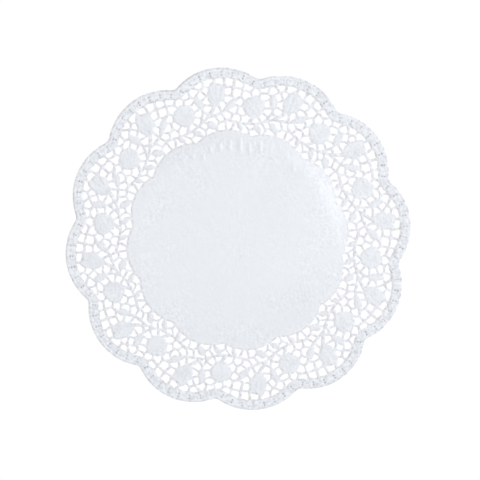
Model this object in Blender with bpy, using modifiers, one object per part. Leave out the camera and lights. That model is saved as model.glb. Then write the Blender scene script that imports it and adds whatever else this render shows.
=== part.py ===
"""A round paper lace doily, lying flat: one die-cut sheet with its relief pressed in.

The pattern repeats twelve times round the middle. One repeat holds a scallop of the
hem, a carnation under the scallop's crest, a rose under the notch beside it, leaves on
a stem that runs round the net, and the net's own bars, which leave gaps of uneven shape.
"""
from collections import namedtuple
import math

import bmesh
import bpy
from mathutils import Matrix, Vector

MM = 0.001                  # a millimetre in metres; the lengths below are in millimetres
NAME = "lace_doily"

# Driving dimensions.
DIAMETER = 300.0            # over two opposite crests of the hem
REPEATS = 12
SHEET = 1.0                 # thickness of the flat sheet
HEM = 8.9                   # width of the closed hem
BAR = 1.6                   # width of the net's bars
GAPS_CUT = 25               # gaps cut through in each repeat, the largest first
OUTLINE_STEPS = 14          # points round one scallop
SHORTEST_SIDE = 1.5         # a gap's sides shorter than this are drawn together
REACH = 12.0                # no gap reaches further than this from its middle
EDGE_SPAN = 1.5             # degrees each way over which an edge counts as straight
WELD = 0.001                # points nearer than this are one

# Relief pressed into the sheet.
FOOT = 0.5                  # how deep a raised form is rooted in the sheet
HEM_RISE = 0.35             # height of the hem's band over the sheet
HEM_LIP = 0.8               # flat lip at each side of the band
ROSE_STEPS = 14             # points round a rose
CARNATION_HALF = (8.4, 6.2, 0.55)   # half its length, half its width, its height
CARNATION_STEPS = (12, 6)   # round and over a carnation's dome

# A scalloped edge: radius at the crests, radius of a scallop's arc, and radius of the
# fillet in the notch between two scallops.
Edge = namedtuple("Edge", "crest arc fillet")
OUTER_EDGE = Edge(DIAMETER / 2, 50.3, 6.0)
CENTRE_EDGE = Edge(96.5, 36.8, 2.0)

# One repeat of the net. Each row is the middle of a gap, as degrees anticlockwise from
# the crest and a radius, and how hard the gap pushes its bars away.
Gap = namedtuple("Gap", "angle radius push")
NET = [
    # under the hem, from one notch to the next
    Gap(14.9, 128.6, 0), Gap(11.8, 131.6, 0), Gap(8.6, 132.0, 0), Gap(6.2, 136.9, 0),
    Gap(2.7, 138.0, 0), Gap(-1.5, 138.3, 0), Gap(-4.9, 136.2, 0), Gap(-8.4, 134.6, 0),
    Gap(-11.8, 131.9, 0),
    # beside the carnation
    Gap(11.2, 125.9, 0), Gap(4.2, 131.7, 0), Gap(6.1, 128.1, 0), Gap(4.8, 122.4, 0),
    Gap(-4.3, 128.6, 0), Gap(-7.8, 127.4, 0), Gap(-11.4, 125.6, 0),
    # between the carnation's stem and the roses
    Gap(10.1, 120.4, 0), Gap(9.3, 114.1, 0), Gap(4.8, 116.4, 0), Gap(6.3, 110.0, -9),
    Gap(-1.7, 117.2, 0), Gap(-4.4, 122.1, 0), Gap(-8.7, 119.5, 0), Gap(1.2, 112.9, 0),
    Gap(-6.6, 113.2, 0), Gap(-9.9, 111.7, 0),
    # outside the running stem
    Gap(10.7, 108.0, 0), Gap(13.5, 104.2, 0), Gap(-12.0, 106.0, 0), Gap(-3.3, 108.3, 0),
    Gap(-7.2, 106.5, 0), Gap(-0.1, 106.5, 0), Gap(3.9, 105.5, 6),
    # between the running stem and the plain centre
    Gap(8.2, 102.2, 0), Gap(10.5, 99.3, 0), Gap(15.6, 99.0, 0), Gap(-0.1, 99.0, 0),
    Gap(-4.2, 99.3, 0), Gap(-7.2, 97.9, 0), Gap(-11.9, 96.3, 0), Gap(13.8, 93.8, 0),
    Gap(5.8, 96.4, 0),
]

# What the gaps stay clear of in one repeat: strips with round ends, each from one place
# to another. A rose is a strip with no length.
Strip = namedtuple("Strip", "angle radius end_angle end_radius width")
ROSE = Strip(15.1, 116.2, 15.1, 116.2, 18.2)
CARNATION = Strip(0.0, 125.2, 0.6, 129.6, 14.2)
MOTIFS = [
    ROSE,
    CARNATION,
    # leaves: upright, slanting, low, small and narrow
    Strip(7.4, 119.6, 7.9, 127.2, 5.4),
    Strip(-2.7, 113.3, -6.6, 120.6, 4.6),
    Strip(2.7, 98.4, 5.9, 103.4, 5.0),
    Strip(10.7, 95.2, 13.5, 99.4, 3.8),
    Strip(-8.9, 95.4, -10.0, 100.6, 3.0),
    # the running stem, in six runs to the same place in the next repeat
    Strip(10.9, 103.7, 7.6, 105.7, 1.7),
    Strip(7.6, 105.7, 5.1, 108.8, 1.6),
    Strip(5.1, 108.8, -0.9, 110.6, 1.6),
    Strip(-0.9, 110.6, -2.0, 105.8, 1.6),
    Strip(-2.0, 105.8, -9.2, 101.4, 1.8),
    Strip(-9.2, 101.4, -19.1, 103.7, 1.8),
    # stems of the carnation, the upright leaf, the rose and the slanting leaf
    Strip(5.3, 109.0, 1.9, 117.3, 2.2),
    Strip(9.0, 106.0, 7.4, 118.0, 1.8),
    Strip(-13.1, 101.0, -14.6, 108.3, 2.0),
    Strip(-0.9, 110.6, -2.6, 113.0, 1.8),
]

# A rose's relief from its middle to its rim.
Ring = namedtuple("Ring", "radius height")
ROSE_RINGS = [Ring(0.0, 0.6), Ring(2.6, 0.6), Ring(3.6, 0.25), Ring(6.2, 0.5), Ring(8.2, 0.0)]

PAPER_COLOUR = (0.83, 0.86, 0.89, 1.0)
PAPER_ROUGHNESS = 0.9


def place(angle, radius):
    """The point at an angle in degrees and a radius from the doily's middle."""
    turn = math.radians(angle)
    return Vector((radius * math.cos(turn), radius * math.sin(turn)))


def turned(point, repeats):
    """The point turned round the doily's middle by a number of repeats."""
    return Matrix.Rotation(2 * math.pi * repeats / REPEATS, 2) @ point


def inset(edge, distance):
    """The edge that runs inside another one at a distance."""
    return Edge(edge.crest - distance, edge.arc - distance, edge.fillet + distance)


def ray_meets(ray, middle, radius, side):
    """How far along a ray from the origin it meets a circle's near (-1) or far (1) side."""
    along = ray.dot(middle)
    return along + side * math.sqrt(radius ** 2 - middle.length_squared + along ** 2)


def edge_radius(edge, angle):
    """How far a scalloped edge is from the middle at an angle in degrees."""
    half = math.pi / REPEATS
    off_crest = abs((math.radians(angle) + half) % (2 * half) - half)
    ray = Vector((math.cos(off_crest), math.sin(off_crest)))
    arc_middle = Vector((edge.crest - edge.arc, 0))
    notch_ray = Vector((math.cos(half), math.sin(half)))
    fillet_middle = notch_ray * ray_meets(notch_ray, arc_middle, edge.arc + edge.fillet, 1)
    touch = arc_middle.lerp(fillet_middle, edge.arc / (edge.arc + edge.fillet))
    if off_crest < math.atan2(touch.y, touch.x):
        return ray_meets(ray, arc_middle, edge.arc, 1)
    return ray_meets(ray, fillet_middle, edge.fillet, -1)


def edge_outline(edge):
    """Points all round a scalloped edge."""
    count = REPEATS * OUTLINE_STEPS
    angles = [360 * step / count for step in range(count)]
    return [place(angle, edge_radius(edge, angle)) for angle in angles]


def clipped(outline, normal, limit):
    """The part of a convex outline that lies no further than the limit along the normal."""
    kept = []
    for start, end in zip(outline, outline[1:] + outline[:1]):
        start_over = start.dot(normal) - limit
        end_over = end.dot(normal) - limit
        if start_over <= 0:
            kept.append(start)
        if start_over * end_over < 0:
            kept.append(start.lerp(end, start_over / (start_over - end_over)))
    return kept


def clipped_by_neighbours(outline, gap):
    """Keep the ground nearer to this gap's middle than to any other's, less half a bar."""
    middle = place(gap.angle, gap.radius)
    for repeats in (-1, 0, 1):
        for other in NET:
            if other is gap and repeats == 0:
                continue
            away = turned(place(other.angle, other.radius), repeats) - middle
            share = away.length / 2 + (gap.push - other.push) / (2 * away.length)
            normal = away.normalized()
            outline = clipped(outline, normal, normal.dot(middle) + share - BAR / 2)
    return outline


def clipped_by_motifs(outline, gap):
    """Keep what lies on this side of each rose, carnation, leaf and stem."""
    middle = place(gap.angle, gap.radius)
    for repeats in (-1, 0, 1):
        for strip in MOTIFS:
            start = turned(place(strip.angle, strip.radius), repeats)
            end = turned(place(strip.end_angle, strip.end_radius), repeats)
            run = end - start
            share = run.dot(middle - start) / max(run.length_squared, WELD ** 2)
            nearest = start + run * min(max(share, 0), 1)
            normal = (nearest - middle).normalized()
            outline = clipped(outline, normal, normal.dot(nearest) - strip.width / 2)
    return outline


def clipped_by_edge(outline, gap, edge, side):
    """Keep what lies inside (side 1) or outside (side -1) a scalloped edge near this gap."""
    angles = (gap.angle - EDGE_SPAN, gap.angle, gap.angle + EDGE_SPAN)
    before, here, after = [place(angle, edge_radius(edge, angle)) for angle in angles]
    along = (after - before).normalized()
    normal = Vector((along.y, -along.x)) * side
    return clipped(outline, normal, normal.dot(here))


def short_sides_drawn_in(outline):
    """The outline with each short side drawn together into its middle."""
    while len(outline) > 3:
        sides = [(end - start).length for start, end in zip(outline, outline[1:] + outline[:1])]
        shortest = sides.index(min(sides))
        if sides[shortest] >= SHORTEST_SIDE:
            break
        outline = outline[shortest:] + outline[:shortest]
        outline = [outline[0].lerp(outline[1], 0.5)] + outline[2:]
    return outline


def area(outline):
    """Area inside an outline, in square millimetres."""
    return abs(sum(a.cross(b) for a, b in zip(outline, outline[1:] + outline[:1]))) / 2


def gap_outline(gap):
    """One gap of the net, in the repeat whose crest is at zero degrees."""
    middle = place(gap.angle, gap.radius)
    outline = [middle + Vector(corner) * REACH for corner in ((1, 1), (-1, 1), (-1, -1), (1, -1))]
    outline = clipped_by_neighbours(outline, gap)
    outline = clipped_by_motifs(outline, gap)
    outline = clipped_by_edge(outline, gap, inset(OUTER_EDGE, HEM), 1)
    outline = clipped_by_edge(outline, gap, CENTRE_EDGE, -1)
    return short_sides_drawn_in(outline)


def cut_gaps():
    """Outlines of the largest gaps of each repeat, all round the net."""
    largest = sorted((gap_outline(gap) for gap in NET), key=area, reverse=True)[:GAPS_CUT]
    return [[turned(p, repeats) for p in outline] for repeats in range(REPEATS) for outline in largest]


def new_collection(name):
    """A new collection in the scene."""
    collection = bpy.data.collections.new(name)
    bpy.context.scene.collection.children.link(collection)
    return collection


def paper():
    """Matte bluish-white paper."""
    material = bpy.data.materials.new("paper")
    material.use_nodes = True
    shader = material.node_tree.nodes["Principled BSDF"]
    shader.inputs["Base Color"].default_value = PAPER_COLOUR
    shader.inputs["Roughness"].default_value = PAPER_ROUGHNESS
    shader.inputs["Metallic"].default_value = 0.0
    return material


def flat_solid(name, outlines, low, high, collection):
    """A flat solid between two heights; outlines inside the first one are holes."""
    curve = bpy.data.curves.new(name, "CURVE")
    curve.dimensions = "2D"
    curve.fill_mode = "BOTH"
    curve.extrude = (high - low) / 2 * MM
    for outline in outlines:
        spline = curve.splines.new("POLY")
        spline.points.add(len(outline) - 1)
        for point, corner in zip(spline.points, outline):
            point.co = (corner.x * MM, corner.y * MM, 0, 1)
        spline.use_cyclic_u = True
    flat = bpy.data.objects.new(name + "_outline", curve)
    flat.location.z = (high + low) / 2 * MM
    collection.objects.link(flat)
    bpy.context.view_layer.update()
    evaluated = flat.evaluated_get(bpy.context.evaluated_depsgraph_get())
    mesh = bpy.data.meshes.new_from_object(evaluated)
    cage = bmesh.new()
    cage.from_mesh(mesh)
    bmesh.ops.remove_doubles(cage, verts=cage.verts, dist=WELD * MM)
    cage.to_mesh(mesh)
    cage.free()
    solid = bpy.data.objects.new(name, mesh)
    solid.matrix_world = flat.matrix_world.copy()
    collection.objects.link(solid)
    bpy.data.objects.remove(flat)
    return solid


def hem_band(collection):
    """The raised band of the hem, between its two flat lips."""
    outer = edge_outline(inset(OUTER_EDGE, HEM_LIP))
    inner = edge_outline(inset(OUTER_EDGE, HEM - HEM_LIP))
    return flat_solid("hem_band", [outer, inner], SHEET - FOOT, SHEET + HEM_RISE, collection)


def rose_mesh():
    """A rose's profile, from the middle of its top out and down to its foot."""
    profile = [(ring.radius * MM, 0, (SHEET + ring.height) * MM) for ring in ROSE_RINGS]
    profile.append((ROSE_RINGS[-1].radius * MM, 0, (SHEET - FOOT) * MM))
    profile.append((0, 0, (SHEET - FOOT) * MM))
    mesh = bpy.data.meshes.new("rose")
    mesh.from_pydata(profile, [(i, i + 1) for i in range(len(profile) - 1)], [])
    return mesh


def rose(mesh, repeats, collection):
    """One rose, turned from its profile."""
    solid = bpy.data.objects.new(f"rose_{repeats}", mesh)
    middle = turned(place(ROSE.angle, ROSE.radius), repeats)
    solid.location = (middle.x * MM, middle.y * MM, 0)
    screw = solid.modifiers.new("turned", "SCREW")
    screw.steps = ROSE_STEPS
    screw.render_steps = ROSE_STEPS
    screw.use_merge_vertices = True
    screw.merge_threshold = WELD * MM
    collection.objects.link(solid)


def carnation_mesh():
    """A low oval dome, longer along X."""
    mesh = bpy.data.meshes.new("carnation")
    cage = bmesh.new()
    size = Matrix.Diagonal([half * MM for half in CARNATION_HALF] + [1])
    around, over = CARNATION_STEPS
    bmesh.ops.create_uvsphere(cage, u_segments=around, v_segments=over, radius=1, matrix=size)
    cage.to_mesh(mesh)
    cage.free()
    return mesh


def carnation(mesh, repeats, collection):
    """One carnation, its length along the radius."""
    solid = bpy.data.objects.new(f"carnation_{repeats}", mesh)
    start = place(CARNATION.angle, CARNATION.radius)
    end = place(CARNATION.end_angle, CARNATION.end_radius)
    middle = turned(start.lerp(end, 0.5), repeats)
    solid.location = (middle.x * MM, middle.y * MM, SHEET * MM)
    solid.rotation_euler.z = math.atan2(middle.y, middle.x)
    collection.objects.link(solid)


def doily():
    """The sheet with its gaps, joined with the relief on it."""
    parts = new_collection(NAME)
    relief = new_collection("relief")
    hem_band(relief)
    rose_shape = rose_mesh()
    carnation_shape = carnation_mesh()
    for repeats in range(REPEATS):
        rose(rose_shape, repeats, relief)
        carnation(carnation_shape, repeats, relief)
    for raised in relief.objects:
        raised.hide_render = True
        raised.display_type = "WIRE"
    sheet = flat_solid(NAME, [edge_outline(OUTER_EDGE)] + cut_gaps(), 0, SHEET, parts)
    sheet.data.materials.append(paper())
    union = sheet.modifiers.new("relief", "BOOLEAN")
    union.operation = "UNION"
    union.operand_type = "COLLECTION"
    union.collection = relief
    union.solver = "EXACT"


for old in list(bpy.data.objects):
    bpy.data.objects.remove(old, do_unlink=True)
doily()
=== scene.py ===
"""The looks of a round paper lace doily: its whole die-cut net with the pressed relief,
matte paper, a pale floor, soft light and a camera straight above."""
from collections import namedtuple
import math

import bpy
import numpy as np
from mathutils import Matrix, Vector
from mathutils.geometry import delaunay_2d_cdt


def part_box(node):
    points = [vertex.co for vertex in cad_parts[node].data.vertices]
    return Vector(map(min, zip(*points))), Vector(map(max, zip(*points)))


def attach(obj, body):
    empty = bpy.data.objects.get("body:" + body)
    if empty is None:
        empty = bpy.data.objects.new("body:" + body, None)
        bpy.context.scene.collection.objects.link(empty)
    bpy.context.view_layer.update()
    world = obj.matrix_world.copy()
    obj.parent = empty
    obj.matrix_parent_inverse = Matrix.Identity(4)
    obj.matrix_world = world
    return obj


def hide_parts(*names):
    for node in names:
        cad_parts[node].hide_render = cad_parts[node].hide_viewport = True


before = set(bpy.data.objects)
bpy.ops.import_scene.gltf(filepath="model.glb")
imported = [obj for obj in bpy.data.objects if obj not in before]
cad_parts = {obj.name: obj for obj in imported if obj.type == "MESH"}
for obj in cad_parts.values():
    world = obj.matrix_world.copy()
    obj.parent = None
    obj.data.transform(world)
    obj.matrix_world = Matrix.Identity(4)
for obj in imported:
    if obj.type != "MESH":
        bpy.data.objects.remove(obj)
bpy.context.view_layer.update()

NODE = "lace_doily"
CAD_LOW, CAD_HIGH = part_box(NODE)
MM = 0.001  # the pattern below is in millimetres, the scene in metres

# The sheet.
DIAMETER = (CAD_HIGH.x - CAD_LOW.x) / MM
REPEATS = 12
STEP = 360 / REPEATS
CENTRE = 92.0  # the plain centre's radius, more or less
PAPER = 0.15  # its thickness
LIFT = 0.15  # its underside over the floor
GAP_TRIM = 0.06  # the gaps are this much smaller all round than below

# The scalloped outer edge.
ARC = 51.15  # radius of a scallop's arc
FILLET = 7.0  # radius of the notch between two scallops
SCALLOP_TURN = -0.33  # how far the scallops are turned against the net, in degrees
SCALLOP_CREST = DIAMETER / 2 - 0.03
SCALLOP_MIDDLE = SCALLOP_CREST - ARC
# How unevenly it is cut: waves around the sheet, their height and turn in degrees.
WAVES = [
    (1, 0.22, 61), (2, 0.17, -131), (4, 0.15, -127), (5, 0.11, -124), (6, 0.10, 51), (7, 0.07, 41),
]
WAVE_RADII = (139, 147)  # the waves grow over these radii

# Pits and beads of the hem.
PIT_DEPTH = 0.2
PIT_RADIUS = 1.25
PIT_ROWS = (3.45, 5.98)  # how far inside the outer edge the two rows of pits are
PIT_TURN = 11.85  # degrees from one pair to the next, about a scallop's middle
PAIRS = 8  # to a scallop
PAIR_MIDDLE = 4.7  # how far inside the outer edge a pair is shaded
PIT_SHIFT = (0.0, -0.38)  # the pits are pressed a little off the cut pattern
BEADS = 3  # small beads of the outer edge to a pair of pits
BEAD_TURN = -1.1  # degrees of a bead from its pair
BEAD_RISE = 0.58  # how far the beads swell the edge outwards
BEAD_RADII = (141.5, 143.5)  # the beads grow over these radii, away from the notches

# Relief, as heights over the flat paper.
SHOULDER = 1.5  # the paper rises this far in from every gap
RISE = 0.30
CENTRE_RISE = 0.6  # the share of that rise along the plain centre
NET_START = 97  # and it is whole from this radius on
EDGE_WIDTH = 0.55  # the outer edge is rolled down over this width
EDGE_DROP = 0.33
WITHIN = (1.0, 1.8)  # how far in from a gap the relief of flowers and leaves starts
# A ridge's height and half its width; a groove's height is below zero.
Ridge = namedtuple("Ridge", "height half")
PETAL_GROOVE = Ridge(-0.07, 0.7)
TIER_GROOVE = Ridge(-0.06, 0.75)
MIDRIB = Ridge(0.12, 0.8)
ROSE_DOME = 0.14
CARNATION_DOME = 0.12
CARNATION_FLUTES = 14  # to a whole turn about the calyx
FLUTE_RISE = 0.09
FLUTE_ENDS = (5, 9)  # the flutes grow this far from the calyx
TIERS = (4.2, 6.6)  # how far from the calyx a carnation's tiers of petals end

# How fine the mesh is.
OUTLINE_SPACING = 1.35
OUTLINE_TURN = math.radians(42)
OUTLINE_ROOM = 0.45  # inner points stay this far from the gaps
EDGE_ROOM = 0.35  # and this far from the outer edge
HEM_SPACING = 0.82
HEM_ROWS = (0.45, 1.0, 1.75, 3.45, 4.7, 5.98, 7.2)
NET_SPACING = 1.12
CENTRE_SPACING = 1.45  # at the plain centre's rim
MIDDLE_SPACING = 3.8  # more than that in its middle
CENTRE_END = CENTRE - 8  # where the centre's points end and the net's start
ROW_PITCH = 0.87  # from one row of points to the next, as a share of the spacing
CREST = 0.85  # points on the shoulders are this far from the gaps
FOOT = 1.6
REACH = 5.0  # distances from the gaps are worked out this far
CREASE_ROOM = 2.0  # creases have points of their own this far from the gaps
CREASE_ROWS = (-3.8, -2.2, -1.1, -0.5, 0.1, 0.7, 1.4)

# The paper's colours, and how much of each. A shade is a share of the shaded paper's colour,
# and a light is less of it: partly the paper's own uneven tone, partly painted light and shade,
# as noted at each. The edges' and the pits' colours are those of their painted shade.
PLAIN_PAPER = (0.865, 0.890, 0.935)
SHADED_PAPER = (0.396, 0.409, 0.428)
PIT_SHADE_PAPER = (0.375, 0.38, 0.445)
EDGE_SHADE_PAPER = (0.405, 0.37, 0.40)
EDGE_SHADE = 0.19  # painted shade along every gap
EDGE_GRAIN = 1.05  # how unevenly
MOTIF_EDGES = -0.25  # the change of both beside flowers and leaves
OUTER_EDGE_SHADE = 0.06  # painted shade along the outer edge
TOP_EDGE_SHADE = 0.10  # more of it along the top
LEFT_EDGE_SHADE = 0.06  # and less of it along the lower left
LINE_SHADE = 0.5  # painted shade in a thin line on the left of the top scallop
# painted shade in the pits
PIT_SHADE = 0.66
PIT_GRAIN = 1.6  # how unevenly
LINK_SHADE = 0.2  # painted shade between the two pits of a pair
# painted shade between the outer edge's small beads
BEAD_SHADE = 0.08
# painted shade in the notches along the carnation's toothed edge
TOOTH_SHADE = 0.22
HEM_SHADE = 0.045
HEM_GRAIN = 0.8
INNER_GRAIN = 0.9  # more of it towards the hem's inner edge
OUTER_GRAIN = 1.2  # and towards the outer one
HEM_RIBS = 0.6
HALO_LIGHT = 0.02  # painted light about the pits
RING_LIGHT = 0.025  # painted light just inside the pressed shoulders
EDGE_LIGHT = 0.085  # painted light on the very edge at the lower left
MOTTLE = 0.09
SPECKLE = 0.2
MIDDLE_SPECKLE = 0.4  # the share of it in the middle of the plain centre
CLOUD = 0.02
CRESCENT_LIGHT = 0.03  # painted highlight on the outer side of the bulge
CRESCENT_SPECKLE = 0.16
PATCH_LIGHT = 0.035  # painted light in a few broad patches near the upper right rim
LOW_SHADE = 0.045  # painted shade on the lower right of the plain centre
TOP_SHADE = 0.07  # painted shade along the upper rim of the plain centre
UNEVEN = 4.3  # how much lighter, as painted light, the plain centre is to its sides and darker, as painted shade, to its top and bottom, to a square metre
FILL_SHADE = 0.11  # away from the gaps' edges
NET_SHADE = 0.024  # more of it in the net
MOTIF_SHADE = 0.01  # and in flowers and leaves
# painted shade of the petals' streaks and flutes, besides their bump
PETAL_SHADE = 0.02
FLOWER_CLOUD = 0.22

# How high the paper's finest relief is, in millimetres.
PETAL_RISE = 0.065
CRUMPLE_RISE = 0.36
LEAST_CRUMPLE = 0.3  # the share of it outside the flowers' patches
GRAIN_RISE = 0.3
MOTTLE_RISE = 0.2
SPECKLE_RISE = 0.25
FIBRE_RISE = 0.03
PIT_DROP = 0.1

# Bands of painted light along the whole hem, along its left (one of them painted shade), and
# beside the thin line: how far in from the outer edge each is, half its width, and how light it is.
HEM_BANDS = [(2.15, 1.0, 0.045)]
LEFT_BANDS = [(2.15, 1.0, 0.075), (3.8, 0.9, -0.03), (5.4, 1.6, 0.055)]
LINE_BANDS = [(2.3, 0.9, 0.06)]

# The light. Each lamp's place is in metres, and its strength is what it sheds on the sheet.
SKY = 0.445
# The floor's glow in the middle, and its slope to a metre, against the lamps' fall-off.
FLOOR_GLOW = 0.11
FLOOR_GLOW_SLOPE = (-0.165, -0.085)
Lamp = namedtuple("Lamp", "name place size strength")
LAMPS = [
    Lamp("overhead", (0.08, 0.42, 1.8), 1.3, 1.15),
    Lamp("side", (2.9, -0.15, 1.93), 1.5, 1.55),
]

# The camera, straight above but for a few degrees.
PIXELS = 480
FOCAL_PIXELS = 1708.7
SENSOR = 36.0
CAMERA_PLACE = (0.0917, 0.1889, 1.4602)
CAMERA_TURN = (-7.746, 2.481, -7.712)  # degrees about X, Y and Z

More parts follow.
